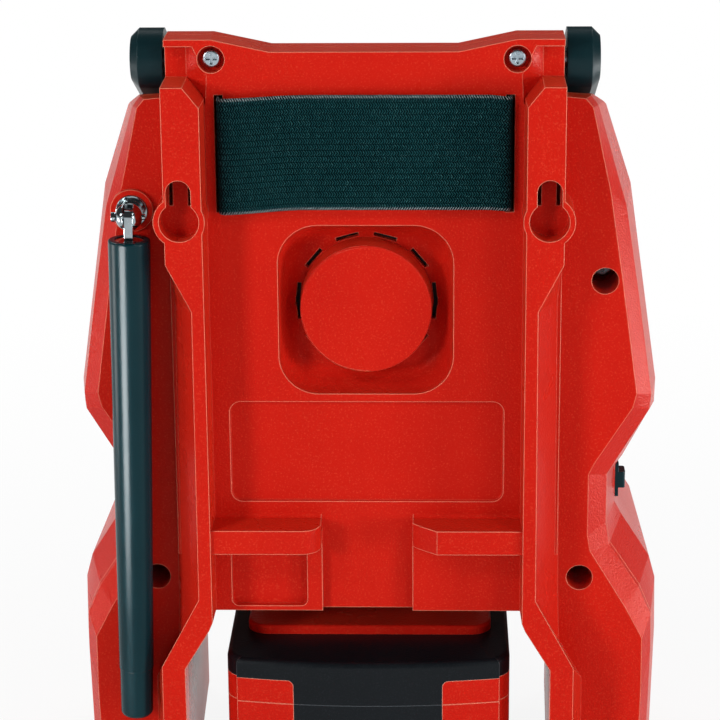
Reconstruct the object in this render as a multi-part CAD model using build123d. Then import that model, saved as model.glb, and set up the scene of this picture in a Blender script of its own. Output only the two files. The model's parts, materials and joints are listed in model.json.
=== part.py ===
from build123d import *
import os
from math import asin, atan2, cos, degrees, hypot, pi, radians, sin, tan

# Battery jobsite radio. Millimetres, +Z up, front faces -Y, back faces +Y.
# Origin: on the ground, under the middle of the bounding box. Heights in this
# file count from a datum on the battery side, DATUM_Z above the ground; put()
# adds it as each node is written.

# ---------------------------------------------------------------- dimensions
DATUM_Z = 20.0                # height of this file's z = 0 above the ground
WALL = 2.6                    # moulded housing wall
Y_PART = 34.5                 # plane between the rear and the front housing
Y_BAY = 43.0                  # floor of the phone bay
Y_RAIL = 55.0                 # wall-side face of the two back rails
Y_FACE = -46.0                # flat front face
Z_SKID = -18.0                # underside of the plastic skids, above the pads
BLOCK_HALF = 53.0             # half width of the centre block
CHEEK_IN = 44.0               # inner side of the cheeks beside the panel
RIDGE_Z, DIP_Z = 207.3, 204.0  # top ridge, and its lower middle
CHANNEL_Z = 50.5              # roof of the battery channel

CHEEK_A, CHEEK_B = (30.0, 207.3), (-32.0, 172.2)  # slope of the cheeks (Y, Z)
PANEL_A = (30.0, 203.2)       # sloped control panel, top edge (Y, Z)
PANEL_B = (-32.0, 168.1)      # and bottom edge
PANEL_W, PANEL_H = 86.0, 64.0
PANEL_ANGLE = degrees(atan2(PANEL_A[1] - PANEL_B[1], PANEL_A[0] - PANEL_B[0]))

KEY_X, KEY_Z, KEY_R, KEY_SLOT = 49.0, 160.7, 5.3, 3.3
STRAP_HALF, STRAP_Z0, STRAP_Z1 = 39.5, 161.1, 192.0
VENT_Z, VENT_HALF, VENT_R = 133.0, 23.8, 17.9
TOP_SCREW = (40.5, 202.0)
DEEP_SCREWS = [(64.9, 140.8), (59.4, 54.3)]

PIVOT = (30.0, 200.0)         # handle hinge (Y, Z)
GRIP = (-46.8, 166.0)         # handle bar centre when folded (Y, Z)
CAP_R, BAR_R, GRIP_R = 8.2, 6.6, 8.2
ARM_IN, ARM_OUT = 53.9, 62.8

ANT = (62.9, 49.0, 160.8)     # antenna hinge pin
ANT_LEAN = 1.05

SPK = (0.0, 95.0)             # speaker axis (X, Z)
GRILLE_R, SPEAKER_R, SPEAKER_BOLT_R = 41.0, 40.6, 38.4

PACK_HALF, PACK_Z0, PACK_SEAM, PACK_Z1 = 40.0, 2.0, 20.2, 33.0

os.makedirs("parts", exist_ok=True)


# ------------------------------------------------------------------- helpers
def at_y(y):
    """Plane facing -Y: local x is X, local y is Z."""
    return Plane(origin=(0, y, 0), x_dir=(1, 0, 0), z_dir=(0, -1, 0))


def at_x(x):
    """Plane facing +X: local x is Y, local y is Z."""
    return Plane(origin=(x, 0, 0), x_dir=(0, 1, 0), z_dir=(1, 0, 0))


def at_z(z):
    return Plane.XY.offset(z)


def poly(pts):
    """Polygon with its face always turned to the plane's own normal."""
    area = sum(a[0] * b[1] - b[0] * a[1] for a, b in zip(pts, pts[1:] + pts[:1]))
    return Polygon(*(pts if area > 0 else pts[::-1]), align=None)


def slab_y(sketch, y0, y1, taper=0):
    """Extrude a sketch of (X, Z) from y1 forwards to y0."""
    return extrude(at_y(y1) * sketch, amount=y1 - y0, taper=taper)


def slab_x(sketch, x0, x1):
    return extrude(at_x(x0) * sketch, amount=x1 - x0)


def slab_z(sketch, z0, z1):
    return extrude(at_z(z0) * sketch, amount=z1 - z0)


def box(x0, x1, y0, y1, z0, z1):
    return Pos((x0 + x1) / 2, (y0 + y1) / 2, (z0 + z1) / 2) * Box(x1 - x0, y1 - y0, z1 - z0)


def rod_x(y, z, r, x0, x1):
    return slab_x(Pos(y, z) * Circle(r), x0, x1)


def rod_y(x, z, r, y0, y1):
    return slab_y(Pos(x, z) * Circle(r), y0, y1)


def rod_z(x, y, r, z0, z1):
    return slab_z(Pos(x, y) * Circle(r), z0, z1)


def cone_y(x, z, r0, r1, y0, y1):
    return loft([at_y(y0) * Pos(x, z) * Circle(r0), at_y(y1) * Pos(x, z) * Circle(r1)])


def both(solid):
    """A piece and its mirror image across the centre plane."""
    return [solid, mirror(solid, Plane.YZ)]


def closed(half):
    """Symmetric polygon from the +X half, listed from the top down."""
    return half + [(-x, z) for x, z in reversed(half)]


def inset(pts, d):
    """Move every edge of a polygon inwards by d and meet the edges again."""
    area = sum(a[0] * b[1] - b[0] * a[1] for a, b in zip(pts, pts[1:] + pts[:1]))
    side = 1 if area > 0 else -1
    lines = []
    for a, b in zip(pts, pts[1:] + pts[:1]):
        ux, uz = b[0] - a[0], b[1] - a[1]
        n = hypot(ux, uz)
        ux, uz = ux / n, uz / n
        lines.append((a[0] - side * uz * d, a[1] + side * ux * d, ux, uz))
    out = []
    for (px, pz, ux, uz), (qx, qz, vx, vz) in zip(lines[-1:] + lines[:-1], lines):
        cross = ux * vz - uz * vx
        t = ((qx - px) * vz - (qz - pz) * vx) / cross
        out.append((px + t * ux, pz + t * uz))
    return out


def loft_y(sections):
    return loft([at_y(y) * poly(pts) for y, pts in sections], ruled=True)


def hull2(a, ra, b, rb):
    """Two discs and the strip tangent to both."""
    dx, dy = b[0] - a[0], b[1] - a[1]
    n = hypot(dx, dy)
    t, k = atan2(dy, dx), asin((ra - rb) / n)
    up, dn = t + pi / 2 - k, t - pi / 2 + k
    quad = [(a[0] + ra * cos(up), a[1] + ra * sin(up)), (b[0] + rb * cos(up), b[1] + rb * sin(up)),
            (b[0] + rb * cos(dn), b[1] + rb * sin(dn)), (a[0] + ra * cos(dn), a[1] + ra * sin(dn))]
    return Pos(*a) * Circle(ra) + Pos(*b) * Circle(rb) + poly(quad)


def panel_at(x=0.0, up=0.0, lift=0.0):
    """Plane on the sloped control panel; local y runs up the slope."""
    t = radians(PANEL_ANGLE)
    my, mz = (PANEL_A[0] + PANEL_B[0]) / 2, (PANEL_A[1] + PANEL_B[1]) / 2
    return Plane(origin=(x, my + up * cos(t) - lift * sin(t), mz + up * sin(t) + lift * cos(t)),
                 x_dir=(1, 0, 0), z_dir=(0, -sin(t), cos(t)))


def leaves(item):
    if type(item) in (list, tuple):
        return [q for part in item for q in leaves(part)]
    return list(item.solids())


def put(name, *pieces):
    """Write one node; identical pieces share it as a group of solids."""
    flat = [Pos(0, 0, DATUM_Z) * solid for solid in leaves(pieces)]
    shape = flat[0] if len(flat) == 1 else Compound(children=flat)
    shape.label = name
    export_step(shape, f"parts/{name}.step")


# ---------------------------------------------------------- housing outlines
def with_channel(half, mouth):
    """Close an outline round the battery channel; mouth is its half width."""
    return closed(half + [(mouth, Z_SKID), (mouth, 32.0), (43.9, 43.6), (43.6, CHANNEL_Z)])


def narrowed(pts, d):
    return [(x - d if x > 60 else x, z) for x, z in pts]


wide_half = [(BLOCK_HALF, 191.0), (62.6, 189.6), (65.2, 186.2), (72.7, 163.2), (77.4, 131.0),
             (81.0, 106.5), (80.8, 99.6), (72.2, 83.4), (70.3, 80.6), (70.3, 69.4),
             (72.3, 65.6), (80.6, 52.6), (82.4, 46.0), (82.7, 30.0), (81.6, Z_SKID)]
edge_half = [(BLOCK_HALF, 191.4), (60.4, 190.8), (62.4, 188.2), (70.6, 160.3), (74.7, 134.2),
             (78.6, 107.2), (78.2, 102.6), (69.0, 87.2), (66.8, 83.4), (66.8, 69.0),
             (67.8, 62.3), (76.4, 49.4), (80.1, 41.0), (80.3, 30.0), (79.2, Z_SKID)]
ridge_half = [(BLOCK_HALF, 191.6), (58.8, 191.0), (60.8, 188.6), (65.9, 165.6), (69.4, 142.6),
              (74.2, 108.6), (73.2, 104.6), (63.0, 88.4), (61.4, 85.0), (61.4, 67.0),
              (62.2, 62.3), (72.4, 45.4), (77.4, 35.8), (77.5, 20.0), (76.6, Z_SKID)]
ridge = with_channel(ridge_half, 51.3)
edge = with_channel(edge_half, 51.5)
wide = with_channel(wide_half, 52.0)
front_edge = with_channel(narrowed(wide_half, 1.5), 53.8)
front_flat = with_channel(narrowed(wide_half, 6.5), 54.0)

block_top = [(25.0, DIP_Z), (40.5, RIDGE_Z), (BLOCK_HALF, RIDGE_Z)]
block = closed(block_top + [(BLOCK_HALF, 62.0), (43.6, 62.0), (43.6, 52.0)])

# ---------------------------------------------------------------- the shell
outer = loft_y([(41.0, ridge), (36.0, edge), (20.0, wide), (-38.0, front_edge), (Y_FACE, front_flat)])
outer += slab_y(poly(block), -46.0, Y_BAY)

centre_side = [(60, -30), (60, 211), (CHEEK_A[0], 211), CHEEK_A, CHEEK_B, (-35.6, 168.4), (-35.6, 151.0),
               (Y_FACE, 141.0), (Y_FACE, -30)]
wing_side = [(60, -30), (60, 191.6), (Y_PART, 191.6), (Y_FACE, 156.4), (Y_FACE, -30)]
keep = slab_x(poly(centre_side), -BLOCK_HALF, BLOCK_HALF)
for s in both(slab_x(poly(wing_side), BLOCK_HALF, 90)):
    keep += s
slope_end = PANEL_B[1] - 8.0 * tan(radians(PANEL_ANGLE))
between = [(PANEL_A[0], 215), PANEL_A, (PANEL_B[0] - 8.0, slope_end), (-60, slope_end), (-60, 215)]
outer = (outer & keep) - slab_x(poly(between), -CHEEK_IN, CHEEK_IN)

cavity = loft_y([(38.4, inset(ridge, WALL)), (35.0, inset(edge, WALL)), (20.0, inset(wide, WALL)),
                 (-38.0, inset(front_edge, WALL)), (Y_FACE + WALL, inset(front_flat, WALL))])
block_in = closed([(25.0, DIP_Z - 3.4), (36.0, 201.0), (36.0, 193.4), (BLOCK_HALF - WALL, 190.6),
                   (BLOCK_HALF - WALL, 64.0), (41.0, 64.0), (41.0, 54.0)])
cavity += slab_y(poly(block_in), -43.0, 40.2)
t = radians(PANEL_ANGLE)
drop = 3.4
centre_in = [(60, 40), (60, 201.6), (PANEL_A[0] - 3, 201.6),
             (PANEL_A[0] - drop * sin(t) - 3, PANEL_A[1] - drop * cos(t) - 3 * tan(t)),
             (PANEL_B[0] + 1 - drop * sin(t), PANEL_B[1] - drop * cos(t)), (-33.0, 161.6),
             (-33.0, 149.9), (Y_FACE + WALL, 139.9), (Y_FACE + WALL, 40)]
wing_in = [(60, -30), (60, 188.8), (Y_PART, 188.8), (Y_FACE + WALL, 154.5), (Y_FACE + WALL, -30)]
keep_in = slab_x(poly(centre_in), -BLOCK_HALF + WALL, BLOCK_HALF - WALL)
for s in both(slab_x(poly(wing_in), BLOCK_HALF - WALL, 90)):
    keep_in += s
cavity = cavity & keep_in

# ------------------------------------------------------------- back features
rail_foot = [(42.4, 191.4), (47.2, 196.8), (BLOCK_HALF, 196.8), (BLOCK_HALF, 149.0), (54.0, 136.0),
             (54.6, 49.7), (55.0, 32.3), (61.0, 22.0), (61.2, Z_SKID), (51.4, Z_SKID), (51.4, 32.0),
             (43.9, 43.6), (42.4, 46.4)]
rail_flat = [(42.9, 191.4), (47.2, 196.8), (BLOCK_HALF, 196.8), (BLOCK_HALF, 149.0), (46.3, 136.0),
             (46.6, 52.8), (47.4, 51.4), (57.4, 32.7), (57.6, Z_SKID), (50.9, Z_SKID), (50.9, 32.0),
             (43.9, 43.6), (42.9, 46.0)]
rail = loft_y([(Y_RAIL, rail_flat), (38.4, rail_foot)])
rail = rail + rod_y(KEY_X, KEY_Z, 6.9, 40.5, Y_RAIL)
rail_core = slab_y(poly([(45.0, 148), (50.6, 148), (49.5, 134), (49.5, 66), (45.0, 66)]), 30, 47.0)
rail_core += box(45.4, 50.4, 30, 52.0, 176.0, 185.0)

# keyhole: round entry, round-topped slot, a hollow for the screw head with a
# stiffening tongue between two deeper cores
key = Pos(KEY_X, KEY_Z) * Circle(KEY_R) + Pos(KEY_X, KEY_Z + 4.0) * Rectangle(2 * KEY_SLOT, 8)
key += Pos(KEY_X, KEY_Z + 8.0) * Circle(KEY_SLOT)
key_cut = slab_y(key, 48.6, 60) + slab_y(Pos(KEY_X - 0.9, KEY_Z + 5.9) * Rectangle(7.8, 12.6), 48.6, 52.4)
key_cut += slab_y(Pos(KEY_X - 2.7, KEY_Z + 7.4) * Rectangle(1.3, 8.6), 42.0, 49)
key_cut += slab_y(Pos(KEY_X + 2.5, KEY_Z + 7.4) * Rectangle(1.0, 8.6), 42.0, 49)

# corner pockets above the rails, with sloping walls down to a flat floor
pocket_floor = [(54.5, 205.5), (47.3, 205.5), (47.4, 195.8), (43.6, 188.8), (46.0, 186.0),
                (BLOCK_HALF, 186.0), (BLOCK_HALF, 192.0), (54.5, 192.0)]
pocket_rim = [(54.5, 205.4), (45.4, 205.4), (41.7, 197.8), (42.2, 190.3), (46.0, 186.0),
                (BLOCK_HALF, 186.0), (BLOCK_HALF, 192.0), (54.5, 192.0)]
corner_pocket = loft_y([(43.02, pocket_rim), (39.5, pocket_floor)])

LEDGE_Z = 73.0
ledge_l = slab_z(poly([(12.8, Y_BAY), (12.8, 54.0), (43, 54.0), (43, Y_BAY)]), 66.1, LEDGE_Z)
ledge_l = fillet(ledge_l.edges().filter_by(Axis.Z).group_by(Axis.Y)[-1].sort_by(Axis.X)[:1], 5.4)
ledge_r = mirror(slab_z(poly([(12.7, Y_BAY), (12.7, 47.6), (14.4, 49.6), (19.4, 54.0), (43, 54.0),
                              (43, Y_BAY)]), 66.1, LEDGE_Z), Plane.YZ)
plate_l = box(12.6, 43, 40.4, 45.4, 45.9, 70) + ledge_l
plate_r = box(-43, -12.6, 40.4, 45.4, 45.9, 70) + ledge_r
ledge_cove = box(12.8, 43, 42.9, Y_BAY + 1.2, LEDGE_Z - 0.1, LEDGE_Z + 1.2)
ledge_cove -= rod_x(Y_BAY + 1.2, LEDGE_Z + 1.2, 1.2, 12, 44)
window = slab_y(Pos(27.45, 57.0) * RectangleRounded(21.1, 19.4, 1.9), 43.2, 46)

cup = slab_y(Pos(0, VENT_Z) * RectangleRounded(2 * VENT_HALF + 3, 2 * VENT_HALF + 3, 12), 30.4, Y_BAY)
cove = []
for k in range(6):
    turn = radians(18 * k)
    half = VENT_HALF - 6.0 * (1 - cos(turn))
    square = RectangleRounded(2 * half, 2 * half, 10.8 - 2.8 * (1 - cos(turn)))
    cove.append(at_y(Y_BAY + 0.01 - 10.0 * sin(turn)) * Pos(0, VENT_Z) * square)
pocket = loft(cove)
bump = cone_y(0, VENT_Z, VENT_R, VENT_R + 0.25, 42.0, 32.0) - rod_y(0, VENT_Z, VENT_R - 2.6, 28, 39.6)
bump = fillet(bump.edges().filter_by(GeomType.CIRCLE).sort_by(Axis.Y)[-1:], 0.5)
slots = []
for a in (6, 40, 74, 106, 140, 174, 186, 220, 254, 286, 320, 354):
    s = Rot(0, 0, a) * Pos(VENT_R + 0.95, 0) * Rectangle(1.1, 6.4)
    slots.append(slab_y(Pos(0, VENT_Z) * s, 29, 34.5))

label_cut = slab_y(Pos(0, 92.3) * RectangleRounded(75.9, 29.6, 3.3), 42.0, 44, taper=12)

# ----------------------------------------------------------- screws and posts
rear_posts, rear_bores, front_posts, front_bores, ribs = [], [], [], [], []
for x, z in DEEP_SCREWS:
    rear_posts += both(rod_y(x, z, 5.4, 21.0, 39.0))
    rear_bores += both(rod_y(x, z, 3.65, 24.0, 45) + rod_y(x, z, 1.7, 15, 25))
    front_posts += both(rod_y(x, z, 4.4, -44.0, 20.9))
    front_bores += both(rod_y(x, z, 1.5, 0.0, 21))
    ribs += both(box(x, x + 16, -4, 20, z - 1, z + 1))
for z in (61.5, 100.5):
    rear_posts += both(rod_y(38.0, z, 2.6, 24.2, 40.4))
x, z = TOP_SCREW
rear_posts += both(rod_y(x, z, 4.6, 34.5, 41.0))
rear_bores += both(rod_y(x, z, 3.6, 39.8, 45) + rod_y(x, z, 1.7, 34, 41))
front_posts += both(box(x - 4.5, BLOCK_HALF - 1, 26.0, 34.5, 193.0, 206.6))
front_bores += both(rod_y(x, z, 1.5, 28.2, 35))

# ------------------------------------------------------------- rear housing
rear_half = box(-100, 100, Y_PART, 60, -30, 260)
rear = (outer & rear_half) - cavity
rear = rear - box(-BLOCK_HALF + 0.01, BLOCK_HALF - 0.01, 40.3, 60, 45, 60)
rear = rear + box(-43.7, 43.7, 40.4, Y_BAY, 45.9, 60.2) + box(-43.7, 43.7, Y_PART, Y_BAY, 50.5, 53.2)
rear = rear + cup + plate_l + plate_r
for s in both(ledge_cove):
    rear = rear + s
for s in both(corner_pocket):
    rear = rear - s
for s in both(rail):
    rear = rear + s
for s in rear_posts:
    rear = rear + s
rear = rear - pocket - window - label_cut
rear = rear + bump
for s in slots + rear_bores + both(key_cut) + both(rail_core):
    rear = rear - s
for s in both(box(37.6, 39.9, 30, 50, STRAP_Z0 - 0.5, STRAP_Z1 + 0.5)):
    rear = rear - s
seam = slab_y(poly(block), Y_PART, Y_PART + 0.6) - slab_y(poly(inset(block, 0.7)), Y_PART - 1, 40)
rear = rear - (seam & box(-60, 60, Y_PART, 40, 192.5, 210))
top_rim = slab_x(poly([(41.6, 215), (44, 215), (44, 205.5)]), -60, 60)
rear = rear - top_rim

ANT_BOSS = rod_y(ANT[0], ANT[2], 5.8, 37.0, 42.4)
rear = rear + ANT_BOSS - rod_y(ANT[0], ANT[2], 4.3, 38.4, 45) - rod_y(ANT[0], ANT[2], 2.1, 30, 40)
put("rear_housing", rear)

# ------------------------------------------------------------ front housing
front_half = box(-100, 100, -60, Y_PART, -30, 260)
front = (outer & front_half) - cavity
for s in both(box(BLOCK_HALF - WALL, BLOCK_HALF + WALL, -46.0, -33.0, 138.0, 176.0)):
    front = front + (s & (outer & front_half))
for s in both(box(47.4, BLOCK_HALF, 24.0, Y_PART, 192.0, 206.0)):
    front = front + (s & (outer & front_half))
for s in front_posts:
    front = front + (s & (outer & front_half))
for s in ribs:
    front = front + (s & (outer & front_half))
front = front - box(-24 - 2.2, 26.2, 29.9, 36, VENT_Z - 26, VENT_Z + 26)
for s in front_bores:
    front = front - s

# speaker opening with its seat, inside boss ring
front = front + (rod_y(SPK[0], SPK[1], 41.6, -43.6, -38.0) & (outer & front_half))
front = front - rod_y(SPK[0], SPK[1], 36.0, -50, -30) - rod_y(SPK[0], SPK[1], GRILLE_R + 0.1, -47, -44.4)
speaker_bolts = [(SPK[0] + SPEAKER_BOLT_R * cos(radians(a)), SPK[1] + SPEAKER_BOLT_R * sin(radians(a)))
                 for a in (45, 135, 225, 315)]
for x, z in speaker_bolts:
    front = front - rod_y(x, z, 1.2, -42.4, -37)

# control panel recess with the display and button apertures below it
panel_cut = extrude(panel_at(lift=-2.0) * RectangleRounded(PANEL_W + 0.4, PANEL_H + 0.4, 4.2), amount=6)
panel_open = extrude(panel_at(lift=-9.0) * RectangleRounded(PANEL_W - 8, PANEL_H - 8, 3), amount=12)
front = front - panel_cut - panel_open

# handle pivots, side sockets
for s in both(rod_x(PIVOT[0], PIVOT[1], 2.6, 48.6, 60)):
    front = front - s
for y in (-12.0, 17.0):
    front = front + box(-69.0, -53.6, y, y + 2.0, 66.5, 83.5)
front = front - box(-75, -60, -9.4, 16.6, 70.8, 79.2)
front = front - box(-75, -68.9, -11.1, 18.1, 69.7, 80.3)
put("front_housing", front)

# ------------------------------------------------- screws and moulded details


def cross_y(x, z, y, size=3.0, depth=1.0):
    """Cross recess cut into a screw head that faces +Y at the height y."""
    bar = Rectangle(size, 0.7) + Rectangle(0.7, size)
    return slab_y(Pos(x, z) * bar, y - depth, y + 1)


def screw_y(x, z, y_head, head_r, head_h, shaft_r, y_tip):
    head = fillet(rod_y(x, z, head_r, y_head, y_head + head_h).edges().sort_by(Axis.Y)[-1:], 0.8)
    return head + rod_y(x, z, shaft_r, y_tip, y_head) - cross_y(x, z, y_head + head_h)


put("case_screws_top", both(screw_y(TOP_SCREW[0], TOP_SCREW[1], 39.8, 2.5, 1.9, 1.4, 28.6)))
put("case_screws_deep", [both(screw_y(x, z, 24.0, 3.0, 2.2, 1.4, 1.0)) for x, z in DEEP_SCREWS])
put("vent_felt", rod_y(0, VENT_Z, 22.0, 29.4, 30.4))

pads = []
for y in (-30.5, 29.5):
    pads += both(slab_z(Pos(66.0, y) * RectangleRounded(21, 19, 4), -DATUM_Z, Z_SKID))
put("rubber_feet", pads)

# ------------------------------------------------------------- phone strap
loop = Pos(0, 38.6) * RectangleRounded(2 * STRAP_HALF, 16.0, 2.6)
loop -= Pos(0, 37.6) * RectangleRounded(2 * STRAP_HALF - 3, 15.0, 1.1)
loop = loop & Pos(0, 39.0) * Rectangle(90, 16.0)
put("phone_strap", slab_z(loop, STRAP_Z0, STRAP_Z1))
put("strap_clamps", both(box(STRAP_HALF - 4, STRAP_HALF - 1.5, 31.4, 40.2, 162.0, 190.0)))

# ---------------------------------------------------------------- antenna
ax, ay, az = ANT
base = rod_y(ax, az, 4.22, 38.6, 42.8) + rod_y(ax, az, 3.0, 42.8, 46.0) + Pos(*ANT) * Sphere(3.7)
base += rod_y(ax, az, 2.02, 37.0, 38.6)
base -= box(ax - 1.35, ax + 1.35, ay - 3.0, 60, az - 10, az + 10)
base -= rod_x(ay, az, 0.8, 50, 70)
base -= rod_y(ax, az, 1.0, 36, 42)
put("antenna_base", base)
put("antenna_base_screw", rod_y(ax, az, 2.7, 35.2, 36.9) + rod_y(ax, az, 1.0, 36.9, 41.6))
put("antenna_pin", rod_x(ay, az, 0.8, 58.5, 66.6) + rod_x(ay, az, 1.35, 66.6, 67.6))

lean = Pos(*ANT) * Rot(0, -ANT_LEAN, 0)      # local origin on the pin, mast along -Z
tang = slab_x(Circle(1.9) + Pos(0, -3.5) * Rectangle(3.8, 7.0), -1.15, 1.15)
ferrule = tang + rod_z(0, 0, 3.9, -13.0, -6.4) - rod_x(0, 0, 0.86, -2, 2)
sleeve = loft([at_z(-130.6) * Circle(4.85), at_z(-6.2) * Circle(5.7)]) - rod_z(0, 0, 3.9, -13.0, -6)
sleeve = fillet(sleeve.edges().filter_by(GeomType.CIRCLE).group_by(Axis.Z)[-1].sort_by(SortBy.LENGTH)[-1:],
                0.5)
tip = loft([at_z(-145.3) * Circle(4.5), at_z(-130.6) * Circle(4.65)])
tip = fillet(tip.edges().group_by(Axis.Z)[0], 1.6)
put("antenna_ferrule", lean * ferrule)
put("antenna_sleeve", lean * sleeve)
put("antenna_tip", lean * tip)

# ------------------------------------------------------------ carry handle
arm = slab_x(hull2(PIVOT, CAP_R, GRIP, 7.2), ARM_IN, ARM_OUT)
arm = chamfer(arm.faces().sort_by(Axis.X)[-1].edges(), 2.2)
arm -= rod_x(PIVOT[0], PIVOT[1], 2.52, 50, 60)
handle = rod_x(GRIP[0], GRIP[1], BAR_R, -56, 56)
for s in both(arm):
    handle += s
put("carry_handle", handle)
put("handle_grip", fillet(rod_x(GRIP[0], GRIP[1], GRIP_R, -47, 47).edges(), 1.2)
    - rod_x(GRIP[0], GRIP[1], BAR_R, -50, 50))
put("handle_pivots", both(rod_x(PIVOT[0], PIVOT[1], 2.52, 48.8, 60.0)))

# ----------------------------------------------------------- control panel
KEYS = {"source_button": (-33.0, -18.0), "menu_button": (-21.0, -18.0), "preset_button": (-9.0, -18.0),
        "tune_down_button": (3.0, -18.0), "tune_up_button": (15.0, -18.0), "power_button": (33.0, 18.0)}
KEY_W, KEY_H = 9.6, 9.0
SCREEN, KNOB = (-11.5, 11.0, 55.0, 28.0), (31.0, -9.0, 9.6)


def on_panel(sketch, lift0, lift1):
    return extrude(panel_at(lift=lift0) * sketch, amount=lift1 - lift0)


screen_at = Pos(SCREEN[0], SCREEN[1])
knob_at = Pos(KNOB[0], KNOB[1])
plate = on_panel(RectangleRounded(PANEL_W, PANEL_H, 4), -2.0, 0.6)
plate = chamfer(plate.faces().sort_by(Axis.Z)[-1].edges(), 0.5)
plate -= on_panel(screen_at * RectangleRounded(SCREEN[2], SCREEN[3], 2), -4, 2)
plate -= on_panel(knob_at * Circle(3.4), -4, 2)
plate -= on_panel(knob_at * Circle(KNOB[2] + 0.8), -0.6, 2)
for x, up in KEYS.values():
    plate -= on_panel(Pos(x, up) * RectangleRounded(KEY_W + 0.6, KEY_H + 0.6, 2.3), -4, 2)
for px, py in ((-36, -8), (-4, -8), (22.4, 6), (22.4, 23)):
    plate += on_panel(Pos(px, py) * Circle(1.7), -7.0, -2.0)
put("control_panel", plate)
put("display_lens", on_panel(screen_at * RectangleRounded(SCREEN[2], SCREEN[3], 2), -1.6, 0.2))
put("lcd_module", on_panel(screen_at * Rectangle(51, 24), -4.6, -1.6))
for name, (x, up) in KEYS.items():
    cap = on_panel(Pos(x, up) * RectangleRounded(KEY_W, KEY_H, 2), -2.6, 1.8)
    cap = fillet(cap.faces().sort_by(Axis.Z)[-1].edges(), 0.6)
    put(name, cap + on_panel(Pos(x, up) * Rectangle(KEY_W + 1.6, KEY_H + 1.2), -4.0, -2.6))
put("tact_switches", [on_panel(Pos(x, up) * Rectangle(6, 6), -7.0, -5.0) for x, up in KEYS.values()])
put("control_board", on_panel(Rectangle(80, 52), -8.6, -7.0))

knob = on_panel(knob_at * Circle(KNOB[2]), 0.4, 10.6)
knob = fillet(knob.faces().sort_by(Axis.Z)[-1].edges(), 1.4)
for k in range(16):
    a = 2 * pi * k / 16
    flute = Pos(KNOB[0] + 10.3 * cos(a), KNOB[1] + 10.3 * sin(a)) * Circle(1.4)
    knob -= on_panel(flute, 2.2, 14)
knob -= on_panel(knob_at * Circle(3.0), 0, 8.0)
put("volume_knob", knob)
put("knob_shaft", on_panel(knob_at * Circle(3.0), -2.6, 8.0))
put("volume_encoder", on_panel(knob_at * Rectangle(12, 12), -7.0, -2.6))

# ---------------------------------------------------------------- speaker
sx, sz = SPK
disc = rod_y(sx, sz, GRILLE_R, -46.0, -44.5)
pitch, cells = 6.6, Sketch()
for i in range(-6, 7):
    for j in range(-6, 7):
        gx, gz = pitch * (i + j / 2), pitch * j * 0.866
        if hypot(gx, gz) < 34.5:
            cells += Pos(sx + gx, sz + gz) * RegularPolygon(2.7, 6, rotation=30)
put("speaker_grille", disc - slab_y(cells, -47, -44))
rim = rod_y(sx, sz, 44.2, -48.2, -46.0) - rod_y(sx, sz, 39.4, -49, -45)
put("grille_ring", chamfer(rim.faces().sort_by(Axis.Y)[0].edges(), 0.9))

frame = rod_y(sx, sz, SPEAKER_R, -38.0, -36.6) + cone_y(sx, sz, 35.5, 21.0, -36.6, -13.0)
frame -= cone_y(sx, sz, 34.3, 19.6, -36.6, -14.4) + rod_y(sx, sz, 34.3, -39, -36.5)
for k in range(4):
    frame -= Pos(sx, 0, sz) * Rot(0, 90 * k, 0) * box(-9, 9, -34.4, -18.5, 10, 60)
for x, z in speaker_bolts:
    frame -= rod_y(x, z, 1.15, -39, -36)
put("speaker_basket", frame)
put("speaker_magnet", rod_y(sx, sz, 23.0, -13.0, -1.0))
roll = rod_y(sx, sz, 34.3, -38.4, -37.0) - rod_y(sx, sz, 28.0, -39, -36)
put("speaker_surround", fillet(roll.faces().sort_by(Axis.Y)[0].edges(), 0.9))
paper = cone_y(sx, sz, 28.0, 9.6, -38.0, -22.0) - cone_y(sx, sz, 27.0, 8.6, -38.0, -22.0)
paper += rod_y(sx, sz, 9.6, -22.0, -14.4) - rod_y(sx, sz, 8.6, -23.0, -14.0)
put("speaker_cone", paper)
bulb = Pos(sx, -14.5, sz) * Sphere(14.0) & rod_y(sx, sz, 8.6, -29.0, -22.0)
put("dust_cap", bulb)
put("speaker_screws", [rod_y(x, z, 2.2, -36.6, -34.8) + rod_y(x, z, 1.15, -42.0, -36.6)
                       for x, z in speaker_bolts])

# ------------------------------------------------------------ electronics
board = box(-42, 42, 22.6, 24.2, 58, 104)
put("main_board", board)
put("board_capacitors", [rod_y(x, 92.0, 4.0, 11.6, 22.6) for x in (-30, -20, -10)])
fins = box(8, 34, 19.6, 22.6, 66, 90)
for k in range(5):
    fins += box(8 + 6 * k, 10 + 6 * k, 11.6, 19.6, 66, 90)
put("amp_heatsink", fins)

# ------------------------------------------------------ side sockets, flap
usb = box(-68.6, -55.4, 1.6, 14.8, 72.1, 77.9) - box(-70, -57.0, 2.3, 14.1, 72.8, 77.2)
usb += box(-67.6, -57.0, 3.4, 13.0, 75.2, 76.4)
put("usb_socket", usb)
aux = box(-66.0, -55.4, -8.0, 0.6, 71.3, 78.7) + rod_x(-3.7, 75.0, 3.4, -68.6, -66.0)
put("aux_socket", aux - rod_x(-3.7, 75.0, 1.8, -70, -57))
put("socket_board", box(-55.4, -54.0, -10.0, 17.0, 68.0, 82.0))
flap = box(-71.5, -69.4, -10.8, 17.8, 70.0, 80.0) + box(-73.4, -71.5, 12.4, 17.8, 72.6, 77.4)
flap = fillet(flap.edges().filter_by(Axis.Z).sort_by(Axis.X)[:2], 0.8)
put("port_flap", flap)

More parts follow.
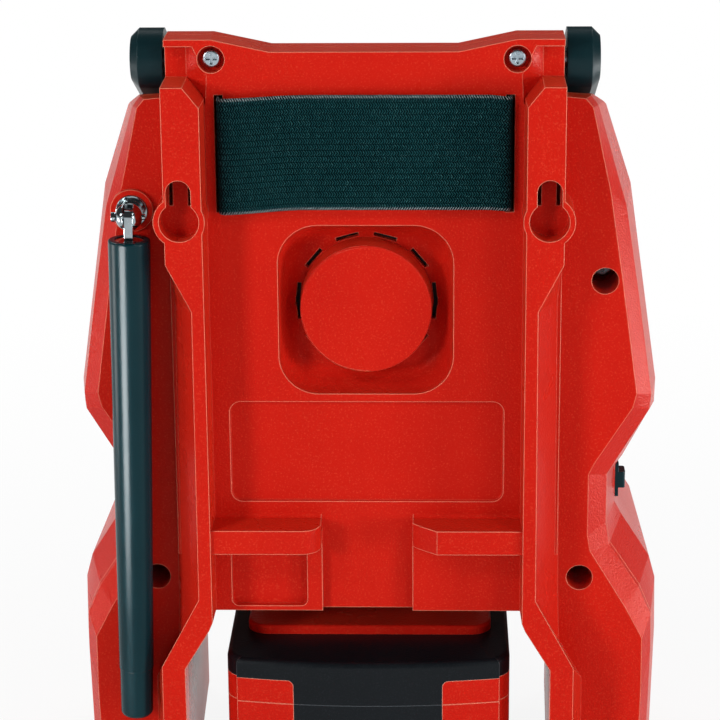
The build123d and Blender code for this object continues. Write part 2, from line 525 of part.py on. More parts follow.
# ------------------------------------------------------------ battery dock
dock = box(-31.5, 31.5, -44.0, 14.0, 46.5, CHANNEL_Z) + box(-31.5, 31.5, 10.4, 14.0, 37.2, 46.5)
for s in both(box(27.4, 31.5, -44.0, 10.4, 38.5, 46.5) + box(23.6, 27.4, -44.0, 10.4, 38.5, 41.6)):
    dock += s
blade_x = (-17.5, -7.0, 7.0, 17.5)
blades = [box(x - 0.4, x + 0.4, -2.0, 10.4, 38.4, 44.4) for x in blade_x]
put("battery_dock", dock)
put("dock_blades", blades)

# ------------------------------------------------------------ battery pack
bow = Pos(0, -144.5) * Circle(198.0) & Pos(0, 47.0) * Rectangle(74, 14)
nose = Pos(0, 168.0) * Circle(220.0) & Pos(0, -47.0) * Rectangle(70, 12)
plan = RectangleRounded(2 * PACK_HALF, 100.0, 7) + bow + nose
core = offset(plan, amount=-2.2)
skin = slab_z(plan, PACK_Z0, PACK_Z1) - slab_z(offset(plan, amount=-1.2), PACK_Z0 - 1, PACK_Z1 + 1)
upper = slab_z(plan, PACK_SEAM, PACK_Z1)
upper = fillet(upper.faces().sort_by(Axis.Z)[-1].edges(), 1.6) - slab_z(core, PACK_SEAM - 1, 30.8)
lower = slab_z(plan, PACK_Z0, PACK_SEAM)
lower = fillet(lower.faces().sort_by(Axis.Z)[0].edges(), 1.6) - slab_z(core, PACK_Z0 + 2.2, PACK_SEAM + 1)
insets_u, insets_l = [], []
for x in (-33.9, 33.9):
    for y0, y1 in ((16.0, 60.0), (-60.0, -16.0)):
        high = slab_y(Pos(x, 20.8) * RectangleRounded(26.0, 13.2, 1.8), y0, y1)
        low = slab_y(Pos(x, 13.2) * RectangleRounded(26.0, 18.4, 1.8), y0, y1)
        insets_u.append(high & skin & box(-60, 60, -60, 60, PACK_SEAM, 40))
        insets_l.append(low & skin & box(-60, 60, -60, 60, 0, PACK_SEAM))
        upper -= insets_u[-1]
        lower -= insets_l[-1]
upper -= box(-13.4, 13.4, -60, -44, 20.9, 31.6)
for s in both(box(27.9, 31.9, -43.2, -39.6, 28, 40)):
    upper -= s
deck = slab_z(Pos(0, -2.75) * RectangleRounded(70, 70.5, 6), PACK_Z1, 35.6)
deck = fillet(deck.faces().sort_by(Axis.Z)[-1].edges(), 0.9)
deck += box(-23.2, 23.2, -36.0, 8.0, 35.6, 42.0) + box(-27.0, 27.0, -36.0, 8.0, 42.0, 46.0)
for x in blade_x:
    deck -= box(x - 1.2, x + 1.2, -6.0, 9.0, 36.4, 44.9)
put("battery_upper_shell", upper)
put("battery_lower_shell", lower)
put("battery_insets_upper", insets_u)
put("battery_insets_lower", insets_l)
put("battery_deck", deck)
put("battery_terminals", [box(x - 1.2, x + 1.2, -5.0, 6.0, 36.4, 37.6) for x in blade_x])
put("battery_cells", [rod_x(y, 17.2, 9.0, -32.5, 32.5) for y in (-35.1, -16.8, 1.5, 19.8, 38.1)])
put("battery_board", box(-30, 30, -34, 44, 26.2, 27.8))

latch = box(-12.9, 12.9, -54.0, -44.4, 23.4, 30.4) + box(-12.9, 12.9, -44.4, -42.6, 27.6, 30.4)
latch += box(-31.4, 31.4, -42.6, -40.2, 27.6, 30.4)
latch = fillet(latch.faces().sort_by(Axis.Y)[0].edges(), 1.2)
for s in both(box(28.3, 31.4, -42.6, -40.2, 30.4, 38.2)):
    latch += s
put("battery_latch", latch)
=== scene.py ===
"""Battery jobsite radio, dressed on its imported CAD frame. Metres, +Z up, back towards +Y."""
import json
import math

import bpy
import numpy as np
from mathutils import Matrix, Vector


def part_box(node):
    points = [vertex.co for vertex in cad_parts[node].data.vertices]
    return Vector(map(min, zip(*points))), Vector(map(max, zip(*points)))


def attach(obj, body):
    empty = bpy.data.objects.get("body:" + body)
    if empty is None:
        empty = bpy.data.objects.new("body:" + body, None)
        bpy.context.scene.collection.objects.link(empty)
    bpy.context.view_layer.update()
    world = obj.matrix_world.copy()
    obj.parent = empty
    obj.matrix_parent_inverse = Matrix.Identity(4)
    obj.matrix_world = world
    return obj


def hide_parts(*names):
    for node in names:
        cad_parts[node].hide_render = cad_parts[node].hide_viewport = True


MM = 0.001
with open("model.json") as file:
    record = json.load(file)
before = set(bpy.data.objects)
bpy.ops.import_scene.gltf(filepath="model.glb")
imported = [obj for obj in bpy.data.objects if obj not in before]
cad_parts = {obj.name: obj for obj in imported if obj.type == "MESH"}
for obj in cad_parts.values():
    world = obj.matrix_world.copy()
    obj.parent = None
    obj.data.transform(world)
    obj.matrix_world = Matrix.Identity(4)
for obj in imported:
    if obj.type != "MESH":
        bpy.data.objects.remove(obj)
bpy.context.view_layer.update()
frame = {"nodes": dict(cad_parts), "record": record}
nodes = frame["nodes"]
slot_of = {part["node"]: part["material_slot"] for part in frame["record"]["subparts"]}


# ------------------------------------------------------------------ node tools
def wire(tree, kind, inputs=None, **settings):
    """Adds one node. Each input takes a number, a colour or another node's output."""
    made = tree.nodes.new(kind)
    for key, value in settings.items():
        setattr(made, key, value)
    for key, value in (inputs or {}).items():
        if isinstance(value, bpy.types.NodeSocket):
            tree.links.new(value, made.inputs[key])
        else:
            made.inputs[key].default_value = value
    return made


def maths(tree, operation, a, b=0.0):
    """One Math node's result. Each value is a number or another node's output."""
    return wire(tree, "ShaderNodeMath", {0: a, 1: b}, operation=operation).outputs[0]


def multiply(tree, a, b):
    return maths(tree, "MULTIPLY", a, b)


def ramp(tree, value, low, high, to_low=0.0, to_high=1.0):
    """Linear step of a value from low..high to to_low..to_high, clamped."""
    return wire(tree, "ShaderNodeMapRange", {"Value": value, "From Min": low, "From Max": high,
                                             "To Min": to_low, "To Max": to_high}).outputs[0]


def blend_colour(tree, factor, a, b):
    """Colour a where the factor is 0, and colour b where it is 1."""
    return wire(tree, "ShaderNodeMix", {0: factor, 6: a, 7: b}, data_type="RGBA").outputs[2]


def rgba(r, g, b):
    return (r, g, b, 1.0)


def object_place(tree):
    """The shaded point in the piece's own coordinates, in metres."""
    return wire(tree, "ShaderNodeTexCoord").outputs["Object"]


def features_per_metre(tree, size_mm):
    """Texture scale for features of a size in millimetres."""
    return maths(tree, "DIVIDE", 1.0 / MM, size_mm)


def noise(tree, place, scale, detail, roughness=0.5, distortion=0.0):
    """The value of a noise texture, about 0.5 on average."""
    return wire(tree, "ShaderNodeTexNoise",
                {"Vector": place, "Scale": scale, "Detail": detail, "Roughness": roughness,
                 "Distortion": distortion}).outputs["Fac"]


def add_bump(tree, shader, height, depth_mm, normal=None):
    """Gives the shader a height map, its depth in millimetres, on top of a normal if given."""
    inputs = {"Height": height, "Distance": depth_mm * MM, "Strength": 1.0}
    if normal is not None:
        inputs["Normal"] = normal
    tree.links.new(wire(tree, "ShaderNodeBump", inputs).outputs[0], shader.inputs["Normal"])


def new_group(name, inputs, outputs):
    """An empty shader group with float inputs {name: default} and typed outputs {name: type}."""
    tree = bpy.data.node_groups.new(name, "ShaderNodeTree")
    for key, value in inputs.items():
        socket = tree.interface.new_socket(key, in_out="INPUT", socket_type="NodeSocketFloat")
        socket.default_value = value
    for key, kind in outputs.items():
        tree.interface.new_socket(key, in_out="OUTPUT", socket_type=f"NodeSocket{kind}")
    return tree, tree.nodes.new("NodeGroupInput"), tree.nodes.new("NodeGroupOutput")


def use_group(tree, group, **values):
    """Places a shader group. An underscore in a value's name stands for a space."""
    made = tree.nodes.new("ShaderNodeGroup")
    made.node_tree = group
    for key, value in values.items():
        made.inputs[key.replace("_", " ")].default_value = value
    return made


# --------------------------------------------------------------- shared effects
def spark_grain_group():
    """Spark-eroded mould texture: fine noise over soft pebbles, and a mask of scattered flecks."""
    tree, given, out = new_group("spark_grain", {"Grain mm": 0.4},
                                 {"Height": "Float", "Fleck": "Float"})
    place = object_place(tree)
    scale = features_per_metre(tree, given.outputs["Grain mm"])
    fine = noise(tree, place, scale, 2.0, 0.55)
    cells = wire(tree, "ShaderNodeTexVoronoi",
                 {"Vector": place, "Scale": multiply(tree, scale, 0.8)}, feature="SMOOTH_F1")
    pebble = ramp(tree, cells.outputs["Distance"], 0.15, 0.75, 1.0, 0.0)
    peaks = noise(tree, place, multiply(tree, scale, 0.9), 1.0)
    tree.links.new(maths(tree, "ADD", fine, multiply(tree, pebble, 0.6)), out.inputs["Height"])
    tree.links.new(ramp(tree, peaks, 0.56, 0.76), out.inputs["Fleck"])
    return tree


def round_edge_group():
    """Rounded-edge normal, and a mask that is 1 on outward edges, where the surface turns within
    the radius and nothing near it shades it."""
    tree, given, out = new_group("round_edge", {"Radius mm": 0.35},
                                 {"Normal": "Vector", "Edge": "Float"})
    turned = wire(tree, "ShaderNodeBevel",
                  {"Radius": multiply(tree, given.outputs["Radius mm"], MM)}, samples=6).outputs[0]
    flat = wire(tree, "ShaderNodeNewGeometry").outputs["Normal"]
    facing = wire(tree, "ShaderNodeVectorMath", {0: turned, 1: flat}, operation="DOT_PRODUCT")
    turning = ramp(tree, facing.outputs["Value"], 0.99, 0.90)
    open_air = wire(tree, "ShaderNodeAmbientOcclusion", {"Distance": 1.5 * MM}, samples=4)
    outward = ramp(tree, open_air.outputs["AO"], 0.70, 0.95)
    tree.links.new(turned, out.inputs["Normal"])
    tree.links.new(multiply(tree, turning, outward), out.inputs["Edge"])
    return tree


def handling_group():
    """Traces of moulding and hands: broad uneven patches, and thin rubbed streaks."""
    tree, given, out = new_group("handling", {"Patch mm": 30.0},
                                 {"Patch": "Float", "Rub": "Float"})
    place = object_place(tree)
    scale = features_per_metre(tree, given.outputs["Patch mm"])
    slow = noise(tree, place, scale, 4.0, 0.6)
    streaked = wire(tree, "ShaderNodeMapping", {"Vector": place, "Rotation": (0.3, 0.5, 0.9),
                                                "Scale": (1.0, 1.0, 12.0)}).outputs[0]
    thin = noise(tree, streaked, multiply(tree, scale, 3.0), 5.0, 0.7)
    tree.links.new(ramp(tree, slow, 0.3, 0.7), out.inputs["Patch"])
    tree.links.new(ramp(tree, thin, 0.62, 0.72), out.inputs["Rub"])
    return tree


spark_grain, round_edge, handling = spark_grain_group(), round_edge_group(), handling_group()


# ------------------------------------------------------------------- materials
BLOOM_TINT, BLOOM_ROUGHNESS = (1.0, 0.36, 0.12), 0.3  # warm glow of plastic at a grazing angle
RUB_POLISH = 0.02             # how much a rubbed streak lowers the roughness
RIBS, RIB, STITCH = 19, 1.60, 0.68  # ribs of the strap; one rib and one stitch in millimetres
RIM_IN, RIM_OUT = 0.65, 0.40  # where the highlight painted along the strap's two edges fades in and is full, millimetres from an edge


def blank(name):
    """A material with a Principled BSDF wired to its output."""
    material = bpy.data.materials.new(name)
    material.use_nodes = True
    tree = material.node_tree
    tree.nodes.clear()
    shader = tree.nodes.new("ShaderNodeBsdfPrincipled")
    out = tree.nodes.new("ShaderNodeOutputMaterial")
    tree.links.new(shader.outputs[0], out.inputs["Surface"])
    return material, tree, shader


def moulded(name, colour, shade, fleck, edge, rough=(0.36, 0.46), grain=0.42, depth=0.03,
            flecks=0.35, edges=0.4, radius=0.35, specular=0.5, tint=(1.0, 1.0, 1.0), bloom=0.0):
    """Injection-moulded plastic: slow colour drift, pale flecks that partly paint sparkle on the
    grain, a painted highlight on outward edges, fine grain.
    """
    material, tree, shader = blank(name)
    texture = use_group(tree, spark_grain, Grain_mm=grain)
    corner = use_group(tree, round_edge, Radius_mm=radius)
    touch = use_group(tree, handling, Patch_mm=34.0)
    # Flecks: partly random pale specks in the plastic, partly painted sparkle of light on the
    # grain.
    fleck_and_sparkle_share = multiply(tree, texture.outputs["Fleck"], flecks)
    # Painted highlight: outward edges are blended towards a pale edge colour, standing in for
    # light caught on the rounded edges.
    edge_highlight_share = multiply(tree, corner.outputs["Edge"], edges)
    base = blend_colour(tree, touch.outputs["Patch"], rgba(*colour), rgba(*shade))
    base = blend_colour(tree, fleck_and_sparkle_share, base, rgba(*fleck))
    base = blend_colour(tree, edge_highlight_share, base, rgba(*edge))
    tree.links.new(base, shader.inputs["Base Color"])
    uneven = ramp(tree, touch.outputs["Patch"], 0.0, 1.0, rough[0], rough[1])
    polish = multiply(tree, touch.outputs["Rub"], RUB_POLISH)
    tree.links.new(maths(tree, "SUBTRACT", uneven, polish), shader.inputs["Roughness"])
    add_bump(tree, shader, texture.outputs["Height"], depth, corner.outputs["Normal"])
    shader.inputs["Specular IOR Level"].default_value = specular
    shader.inputs["Specular Tint"].default_value = rgba(*tint)
    shader.inputs["Sheen Weight"].default_value = bloom
    shader.inputs["Sheen Roughness"].default_value = BLOOM_ROUGHNESS
    shader.inputs["Sheen Tint"].default_value = rgba(*BLOOM_TINT)
    return material


def metal(name, colour, stain, rough=(0.2, 0.35), grain=0.25, depth=0.004,
          stretch=(1.0, 1.0, 1.0), radius=0.2):
    """Bare or plated metal: drawn or rolled grain, faint stain, rounded edges."""
    material, tree, shader = blank(name)
    drawn = wire(tree, "ShaderNodeMapping", {"Vector": object_place(tree),
                                             "Scale": stretch}).outputs[0]
    lines = noise(tree, drawn, 1.0 / (grain * MM), 3.0, 0.6)
    touch = use_group(tree, handling, Patch_mm=9.0)
    corner = use_group(tree, round_edge, Radius_mm=radius)
    tree.links.new(blend_colour(tree, touch.outputs["Patch"], rgba(*colour), rgba(*stain)),
                   shader.inputs["Base Color"])
    tree.links.new(ramp(tree, lines, 0.3, 0.7, rough[0], rough[1]), shader.inputs["Roughness"])
    add_bump(tree, shader, lines, depth, corner.outputs["Normal"])
    shader.inputs["Metallic"].default_value = 1.0
    return material


def felt_pad(name, colour, hair):
    """Pressed felt: tangled short fibres from distorted noise over a soft ground."""
    material, tree, shader = blank(name)
    fibre = noise(tree, object_place(tree), 1800.0, 5.0, 0.7, 1.5)
    tree.links.new(blend_colour(tree, ramp(tree, fibre, 0.35, 0.7), rgba(*colour), rgba(*hair)),
                   shader.inputs["Base Color"])
    tree.links.new(ramp(tree, fibre, 0.3, 0.7, 0.85, 0.98), shader.inputs["Roughness"])
    add_bump(tree, shader, fibre, 0.15)
    shader.inputs["Sheen Weight"].default_value = 0.3
    return material


def smoked_glass(name):
    """Tinted hard-coated window over the display, with faint haze and fine wipe marks."""
    material, tree, shader = blank(name)
    touch = use_group(tree, handling, Patch_mm=14.0)
    corner = use_group(tree, round_edge, Radius_mm=0.3)
    tree.links.new(blend_colour(tree, touch.outputs["Patch"], rgba(0.012, 0.015, 0.018),
                                rgba(0.018, 0.022, 0.026)), shader.inputs["Base Color"])
    tree.links.new(ramp(tree, touch.outputs["Rub"], 0.0, 1.0, 0.06, 0.16),
                   shader.inputs["Roughness"])
    add_bump(tree, shader, touch.outputs["Rub"], 0.002, corner.outputs["Normal"])
    shader.inputs["Coat Weight"].default_value = 0.6
    return material


def circuit_board(name):
    """Solder mask, with copper runs that show through as stepped paler lines."""
    material, tree, shader = blank(name)
    runs = wire(tree, "ShaderNodeTexBrick", {"Vector": object_place(tree), "Scale": 160.0,
                                             "Mortar Size": 0.03,
                                             "Color1": rgba(0.008, 0.10, 0.04),
                                             "Color2": rgba(0.006, 0.085, 0.035),
                                             "Mortar": rgba(0.03, 0.21, 0.09)})
    touch = use_group(tree, handling, Patch_mm=12.0)
    tree.links.new(runs.outputs["Color"], shader.inputs["Base Color"])
    tree.links.new(ramp(tree, touch.outputs["Patch"], 0.0, 1.0, 0.25, 0.4),
                   shader.inputs["Roughness"])
    add_bump(tree, shader, runs.outputs["Fac"], 0.03)
    return material


def woven_elastic(name):
    """Knitted elastic web. Map u runs along the web and v across it, both in millimetres: each rib
    of v holds a row of small V stitches. Painted shade darkens the furrows between the ribs to
    near black; painted highlights pale the threads in glints and in a band along the two edges."""
    material, tree, shader = blank(name)

    def calc(operation, a, b=0.0):
        return maths(tree, operation, a, b)

    web = wire(tree, "ShaderNodeUVMap", uv_map="web").outputs[0]
    split = wire(tree, "ShaderNodeSeparateXYZ", {"Vector": web})
    along, across = split.outputs["X"], split.outputs["Y"]
    fuzz = noise(tree, object_place(tree), 2600.0, 3.0)
    slow = use_group(tree, handling, Patch_mm=18.0)

    ribs = calc("MULTIPLY", across, 1.0 / RIB)
    off_centre = calc("ABSOLUTE", calc("SUBTRACT", calc("FRACT", ribs), 0.5))
    furrow = ramp(tree, off_centre, 0.30, 0.45)
    stagger = calc("MULTIPLY", calc("FLOOR", ribs), 0.37)
    wander = calc("MULTIPLY", calc("SUBTRACT", fuzz, 0.5), 0.9)
    stitches = calc("ADD", calc("MULTIPLY", along, 1.0 / STITCH), stagger)
    slanted = calc("ADD", calc("ADD", stitches, wander), calc("MULTIPLY", off_centre, 2.1))
    stitch = calc("ABSOLUTE", calc("SUBTRACT", calc("FRACT", slanted), 0.5))
    thread = ramp(tree, stitch, 0.25, 0.46)
    top = RIBS * RIB
    rim_highlight = calc("MAXIMUM", ramp(tree, across, RIM_IN, RIM_OUT),
               ramp(tree, across, top - RIM_IN, top - RIM_OUT))

    yarn = blend_colour(tree, slow.outputs["Patch"], rgba(0.0120, 0.074, 0.084),
                        rgba(0.0150, 0.086, 0.096))
    base = blend_colour(tree, thread, rgba(0.0003, 0.0030, 0.0042), yarn)
    # Painted highlight: pale glints on the threads where the fuzz noise peaks.
    base = blend_colour(tree, multiply(tree, ramp(tree, fuzz, 0.56, 0.74), thread), base,
                        rgba(0.10, 0.26, 0.27))
    # Painted shade: the furrows between the ribs are darkened to near black.
    base = blend_colour(tree, furrow, base, rgba(0.0005, 0.0028, 0.0040))
    # Painted highlight: the threads in a band along each edge are paled, standing in for light on
    # the beaded edges.
    base = blend_colour(tree, multiply(tree, rim_highlight, ramp(tree, thread, 0.35, 0.6)), base,
                        rgba(0.34, 0.41, 0.42))
    tree.links.new(base, shader.inputs["Base Color"])
    tree.links.new(ramp(tree, fuzz, 0.3, 0.7, 0.70, 0.90), shader.inputs["Roughness"])
    height = calc("ADD", calc("MULTIPLY", thread, 0.6), calc("MULTIPLY", fuzz, 0.5))
    add_bump(tree, shader, calc("SUBTRACT", height, furrow), 0.14)
    shader.inputs["Specular IOR Level"].default_value = 0.02
    return material


# Each moulded finish is given its colour, the colour it drifts to, its flecks and the highlight
# colour painted on its edges.
finish = {
    "red_plastic": moulded(
        "red_housing_plastic", (0.57, 0.0130, 0.0060), (0.53, 0.0105, 0.0055),
        (0.80, 0.10, 0.045), (0.96, 0.46, 0.30), rough=(0.25, 0.33), grain=0.46, depth=0.07,
        flecks=0.25, edges=0.70, radius=0.4, specular=0.10, tint=(1.0, 0.52, 0.38), bloom=0.15),
    "black_plastic": moulded(
        "black_trim_plastic", (0.0020, 0.0150, 0.0190), (0.0030, 0.0190, 0.0235),
        (0.012, 0.035, 0.042), (0.03, 0.08, 0.09), rough=(0.30, 0.40), grain=0.34, depth=0.012,
        flecks=0.2, edges=0.4, specular=0.14),
    "rubber": moulded(
        "soft_rubber", (0.0003, 0.0200, 0.0270), (0.0006, 0.0245, 0.0320),
        (0.010, 0.034, 0.040), (0.02, 0.06, 0.07), rough=(0.20, 0.30), grain=0.26, depth=0.008,
        flecks=0.2, edges=0.3, radius=0.5, specular=0.14),
    "zinc_steel": metal("zinc_plate", (0.42, 0.50, 0.56), (0.34, 0.41, 0.46), rough=(0.22, 0.34)),
    "chrome": metal("polished_chrome", (0.36, 0.41, 0.43), (0.30, 0.34, 0.36), rough=(0.08, 0.14),
                    depth=0.001),
    "felt": felt_pad("vent_filter_felt", (0.006, 0.006, 0.007), (0.03, 0.03, 0.032)),
    "panel_black": moulded(
        "panel_fascia_plastic", (0.008, 0.009, 0.010), (0.011, 0.012, 0.014),
        (0.02, 0.022, 0.024), (0.06, 0.065, 0.07), rough=(0.30, 0.38), grain=0.3, depth=0.012,
        flecks=0.2, edges=0.5),
    "display_glass": smoked_glass("display_window"),
    "display_grey": moulded(
        "display_backing", (0.26, 0.32, 0.24), (0.22, 0.28, 0.20),
        (0.30, 0.36, 0.28), (0.3, 0.36, 0.28), rough=(0.3, 0.4), depth=0.004),
    "key_rubber": moulded(
        "key_rubber", (0.024, 0.026, 0.029), (0.030, 0.032, 0.036),
        (0.05, 0.053, 0.058), (0.09, 0.095, 0.10), rough=(0.52, 0.62), grain=0.3, depth=0.01,
        flecks=0.2, edges=0.4),
    "circuit_board": circuit_board("solder_mask_board"),
    "grille_black": moulded(
        "grille_powder_coat", (0.010, 0.011, 0.013), (0.013, 0.014, 0.016),
        (0.03, 0.032, 0.035), (0.05, 0.053, 0.057), rough=(0.42, 0.52), grain=0.5, depth=0.03,
        flecks=0.25, edges=0.5, radius=0.2),
    "ferrite": moulded(
        "sintered_ferrite", (0.04, 0.04, 0.044), (0.055, 0.055, 0.06),
        (0.08, 0.08, 0.085), (0.1, 0.1, 0.1), rough=(0.6, 0.7), depth=0.03),
    "paper": moulded(
        "pressed_paper", (0.022, 0.022, 0.024), (0.03, 0.03, 0.033),
        (0.05, 0.05, 0.054), (0.05, 0.05, 0.05), rough=(0.8, 0.9), grain=0.7, depth=0.05),
    "aluminium": metal("extruded_aluminium", (0.74, 0.75, 0.77), (0.66, 0.67, 0.69),
                       stretch=(12.0, 12.0, 1.0)),
    "contact_brass": metal("stamped_brass", (0.78, 0.60, 0.28), (0.68, 0.50, 0.22),
                           rough=(0.18, 0.3)),
    "battery_grey": moulded(
        "battery_case_plastic", (0.0028, 0.0045, 0.0062), (0.0042, 0.0062, 0.0082),
        (0.020, 0.024, 0.029), (0.13, 0.15, 0.165), rough=(0.30, 0.40), grain=0.4, depth=0.035,
        flecks=0.35, edges=0.7, radius=0.3, specular=0.14),
    "cell_sleeve": moulded(
        "cell_shrink_sleeve", (0.04, 0.16, 0.30), (0.05, 0.19, 0.34),
        (0.08, 0.22, 0.36), (0.1, 0.24, 0.4), rough=(0.2, 0.3), depth=0.004),
    "elastic": woven_elastic("elastic_web"),
}

for name, part in nodes.items():
    part.data.materials.clear()
    part.data.materials.append(finish[slot_of[name]])


# -------------------------------------------------------------------- surfaces
def grid_mesh(name, points, web):
    """A mesh from an array of points [rows, columns, 3], with quads between neighbours. web is the
    matching [rows, columns, 2] array of map coordinates."""
    rows, columns = points.shape[:2]
    index = np.arange(rows * columns).reshape(rows, columns)
    quads = np.stack([index[:-1, :-1], index[:-1, 1:], index[1:, 1:], index[1:, :-1]],
                     -1).reshape(-1, 4)
    loops = quads.reshape(-1)
    mesh = bpy.data.meshes.new(name)
    mesh.vertices.add(rows * columns)
    mesh.vertices.foreach_set("co", points.reshape(-1).astype(np.float32))
    mesh.loops.add(len(loops))
    mesh.loops.foreach_set("vertex_index", loops.astype(np.int32))
    mesh.polygons.add(len(quads))
    mesh.polygons.foreach_set("loop_start", np.arange(0, len(loops), 4, dtype=np.int32))
    mesh.update(calc_edges=True)
    layer = mesh.uv_layers.new(name="web")
    layer.data.foreach_set("uv", web.reshape(-1, 2)[loops].reshape(-1).astype(np.float32))
    mesh.polygons.foreach_set("use_smooth", np.ones(len(quads), dtype=bool))
    mesh.validate()
    made = bpy.data.objects.new(name, mesh)
    bpy.context.scene.collection.objects.link(made)
    return made


def dress(made, slot, body):
    """Gives a new piece its finish and the body that it rides on."""
    made.data.materials.append(finish[slot])
    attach(made, body)
    return made


# ---------------------------------------------------------------- phone strap
WEB = 1.5 * MM                # thickness of the solid that the web fills
CORNER = 1.9 * MM             # radius of its centre line at the two slots
SWELL = 0.22 * MM             # how far each rib stands out of its furrows
INSET = 0.15 * MM             # gap to the top and to the bottom of its slots
LEFT_EASE, RIGHT_EASE = 24 * MM, 7 * MM  # lengths over which its edges bend near each slot
ALONG, ACROSS = 260, 171      # points along the web and across it


def strap_path(low, high):
    """Centre line of the web, seen from above, as ALONG points an even distance apart. It leaves
    one slot, turns a corner of radius CORNER, runs flat across the bay, and turns into the other
    slot. With t the turn so far, a point on the corner is r cos t, r sin t from its centre."""
    half = (high.x - low.x) / 2 - WEB / 2
    face = high.y - WEB / 2
    leg, arc, run = face - CORNER - low.y, CORNER * math.pi / 2, 2 * (half - CORNER)
    total = 2 * leg + 2 * arc + run
    s = np.linspace(0.0, total, ALONG)
    near = np.minimum(s, total - s)
    side = np.where(s < total / 2, 1.0, -1.0)
    turn = np.clip((near - leg) / CORNER, 0.0, math.pi / 2)
    flat = np.maximum(near - leg - arc, 0.0)
    x = half - CORNER + CORNER * np.cos(turn) - flat
    y = low.y + np.minimum(near, leg) + CORNER * np.sin(turn)
    outward = np.stack([np.cos(turn) * side, np.sin(turn)], -1)
    return s, side * x, y, outward, total


def ease(distance, length):
    """0 at no distance, 1 from the given length on: smooth step 3t^2 - 2t^3."""
    t = np.clip(distance / length, 0.0, 1.0)
    return t * t * (3 - 2 * t)


def elastic_strap():
    """The web across the phone bay. RIBS ribs swell as the root of a sine across it, and each edge
    rises or sinks a little towards the slots."""
    low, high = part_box("phone_strap")
    along, x, y, outward, length = strap_path(low, high)
    across = np.linspace(0.0, 1.0, ACROSS)
    flat_width = high.z - low.z - 2 * INSET
    lift = SWELL * np.sqrt(np.abs(np.sin(math.pi * across * RIBS))) - SWELL
    lift = np.broadcast_to(lift[:, None], (ACROSS, ALONG))
    rise = ease(high.x - x, LEFT_EASE)
    drop = 1 - ease(x - low.x, RIGHT_EASE)
    lower = (-0.45 + 1.45 * rise - 0.45 * drop) * MM
    upper = (-0.05 + 1.00 * rise - 0.60 * drop) * MM
    heights = low.z + INSET + across[:, None] * flat_width
    heights = heights + lower[None, :] * (1 - across[:, None]) + upper[None, :] * across[:, None]
    points = np.stack([x[None, :] + outward[None, :, 0] * lift,
                       y[None, :] + outward[None, :, 1] * lift, heights], -1)
    web = np.stack([np.broadcast_to(along[None, :] / MM, lift.shape),
                    np.broadcast_to((across * RIBS * RIB)[:, None], lift.shape)], -1)
    strap = dress(grid_mesh("elastic_strap", points, web), "elastic", "radio")
    wall = strap.modifiers.new("web_thickness", "SOLIDIFY")
    wall.thickness, wall.offset = WEB * 0.8, 0.0
    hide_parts("phone_strap")


elastic_strap()


# -------------------------------------------------------------- camera, studio
DOME, CEILING = 0.20, 0.06    # strength of the light dome, and of the ceiling in reflections
TABLE_HALF = 6.0              # half the side of the table top
NEAR_WHITE = 0.90             # share of plain white that the table shows beside the object
MIDDLE = (0.0, 0.0, 0.12)     # where the lamps aim

# name, place, aim, (width, height), watts
LAMPS = [
    ("back_left", (0.90, 1.00, 0.42), MIDDLE, (0.24, 0.24), 6.2),
    ("back_right", (-0.85, 1.05, 0.36), MIDDLE, (0.40, 0.40), 2.2),
    ("high_left", (0.70, 0.80, 0.95), MIDDLE, (0.22, 0.22), 2.4),
    ("high_right", (-0.70, 0.80, 0.95), MIDDLE, (0.22, 0.22), 2.0),
    ("side_left", (1.12, 0.42, 0.60), MIDDLE, (0.20, 0.20), 2.0),
    ("side_right", (-1.15, 0.55, 0.16), MIDDLE, (0.25, 0.25), 7.0),
    ("front_left", (0.55, -0.75, 1.15), MIDDLE, (0.60, 0.60), 4.5),
    ("front_right", (-0.55, -0.75, 1.15), MIDDLE, (0.60, 0.60), 4.0),
]
REFLECTED_PANELS = [
    ("gleam_left", (0.40, 0.04, 0.07), (0.07, 0.04, 0.07), (0.12, 0.13), 0.35),
    ("gleam_right", (-0.40, 0.02, 0.07), (-0.07, 0.04, 0.07), (0.14, 0.13), 1.1),
]
ANTENNA_STRIP = ("strip_left", (0.187, 0.231, 0.065), (0.063, 0.049, 0.065), (0.12, 0.13), 2.0)


def studio_camera():
    """A long lens behind the radio, a little above it: back is the unit vector from the target to
    the lens."""
    yaw, pitch, roll = (math.radians(a) for a in (1.6, 17.5, 0.43))
    target, distance = Vector((0.0, 0.040, 0.138)), 0.700
    back = Vector((-math.sin(yaw) * math.cos(pitch), math.cos(yaw) * math.cos(pitch),
                   math.sin(pitch)))
    right = (-back).cross(Vector((0.0, 0.0, 1.0))).normalized()
    up = right.cross(-back)
    across_view = right * math.cos(roll) - up * math.sin(roll)
    up_view = right * math.sin(roll) + up * math.cos(roll)
    lens = bpy.data.cameras.new("camera")
    lens.sensor_width, lens.lens, lens.shift_x = 36.0, 127.5, -0.009
    lens.clip_start, lens.clip_end = 0.05, 20.0
    camera = bpy.data.objects.new("camera", lens)
    turn = camera.matrix_world.copy()
    for column, axis in enumerate((across_view, up_view, back, target + back * distance)):
        for row in range(3):
            turn[row][column] = axis[row]
    camera.matrix_world = turn
    bpy.context.scene.collection.objects.link(camera)
    bpy.context.scene.camera = camera


def softbox(name, place, aim, size, watts, lights=True):
    """A white lamp panel at place, turned to aim. size is its width and height. Where lights is
    false it is a panel that only shows in reflections."""
    data = bpy.data.lights.new(name, "AREA")
    data.shape, data.size, data.size_y = "RECTANGLE", size[0], size[1]
    data.energy = watts
    lamp = bpy.data.objects.new(name, data)
    lamp.visible_diffuse, lamp.visible_camera = lights, False
    lamp.location = place
    lamp.rotation_mode = "QUATERNION"
    lamp.rotation_quaternion = (Vector(place) - Vector(aim)).to_track_quat("Z", "Y")
    bpy.context.scene.collection.objects.link(lamp)
    return lamp


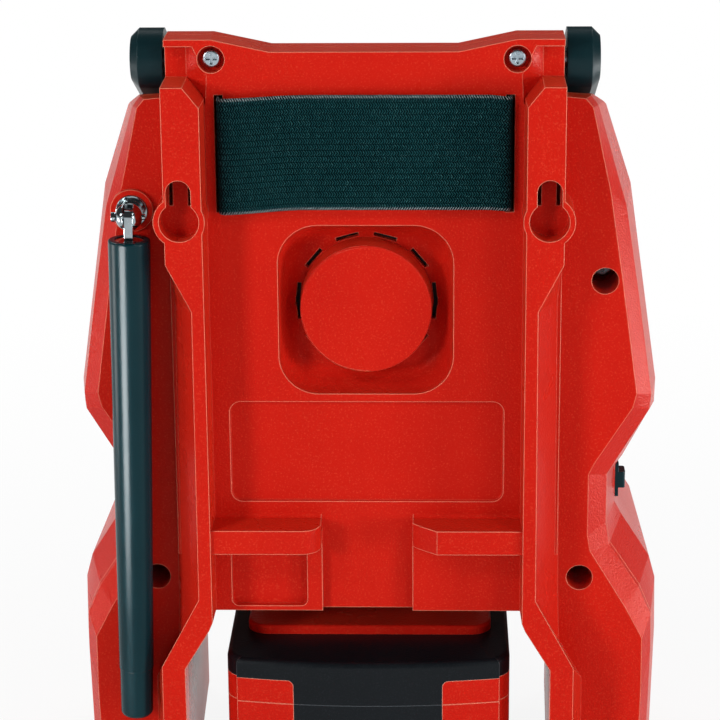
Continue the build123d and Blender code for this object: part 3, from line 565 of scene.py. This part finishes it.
def shine_only_on(lamp, start):
    """Limits a lamp to the CAD pieces whose names begin with start."""
    pieces = bpy.data.collections.new(f"{lamp.name}_shines_on")
    for name, part in nodes.items():
        if name.startswith(start):
            pieces.objects.link(part)
    lamp.light_linking.receiver_collection = pieces


def seen_white(tree):
    """1 for the rays that see the white surroundings, 0 for the rays that light the object."""
    rays = wire(tree, "ShaderNodeLightPath").outputs
    direct = maths(tree, "MAXIMUM", rays["Is Camera Ray"], rays["Is Transmission Ray"])
    return maths(tree, "MAXIMUM", direct, rays["Is Glossy Ray"])


def white_surroundings():
    """White sweep to the eye, a dark ceiling for reflections, and a dim dome on the object."""
    world = bpy.data.worlds.new("studio")
    world.use_nodes = True
    bpy.context.scene.world = world
    tree = world.node_tree
    tree.nodes.clear()
    out = wire(tree, "ShaderNodeOutputWorld")
    ray = wire(tree, "ShaderNodeSeparateXYZ", {"Vector": object_place(tree)})
    ceiling = ramp(tree, ray.outputs["Z"], -0.02, 0.08, 1.0, CEILING)
    to_camera = wire(tree, "ShaderNodeLightPath").outputs["Is Camera Ray"]
    level = maths(tree, "MAXIMUM", ceiling, to_camera)
    dome = wire(tree, "ShaderNodeBackground", {"Color": rgba(1, 1, 1), "Strength": DOME})
    white = wire(tree, "ShaderNodeBackground", {"Color": rgba(1, 1, 1), "Strength": level})
    mix = wire(tree, "ShaderNodeMixShader", {0: seen_white(tree), 1: dome.outputs[0],
                                             2: white.outputs[0]})
    tree.links.new(mix.outputs[0], out.inputs["Surface"])


def pale_floor():
    """White table top that holds the object's shadow and fades into the white behind it."""
    side = TABLE_HALF
    mesh = bpy.data.meshes.new("table_top")
    mesh.from_pydata([(-side, -side, 0), (side, -side, 0), (side, side, 0), (-side, side, 0)], [],
                     [(0, 1, 2, 3)])
    floor = bpy.data.objects.new("table_top", mesh)
    bpy.context.scene.collection.objects.link(floor)
    material, tree, shader = blank("table_white")
    place = object_place(tree)
    far = wire(tree, "ShaderNodeVectorMath", {0: place}, operation="LENGTH").outputs["Value"]
    tree.links.new(blend_colour(tree, noise(tree, place, 90.0, 3.0), rgba(0.80, 0.80, 0.80),
                                rgba(0.83, 0.83, 0.83)), shader.inputs["Base Color"])
    shader.inputs["Roughness"].default_value = 0.8
    white = wire(tree, "ShaderNodeEmission", {"Color": rgba(1, 1, 1), "Strength": 1.0})
    fade = ramp(tree, far, 0.12, 0.5, NEAR_WHITE, 1.0)
    share = multiply(tree, fade, seen_white(tree))
    mix = wire(tree, "ShaderNodeMixShader", {0: share, 1: shader.outputs[0], 2: white.outputs[0]})
    out = next(n for n in tree.nodes if n.type == "OUTPUT_MATERIAL")
    tree.links.new(mix.outputs[0], out.inputs["Surface"])
    floor.data.materials.append(material)


studio_camera()
white_surroundings()
pale_floor()
for lamp in LAMPS:
    softbox(*lamp)
for panel in REFLECTED_PANELS:
    softbox(*panel, lights=False)
shine_only_on(softbox(*ANTENNA_STRIP, lights=False), "antenna")

bpy.context.scene.view_settings.view_transform = "Standard"
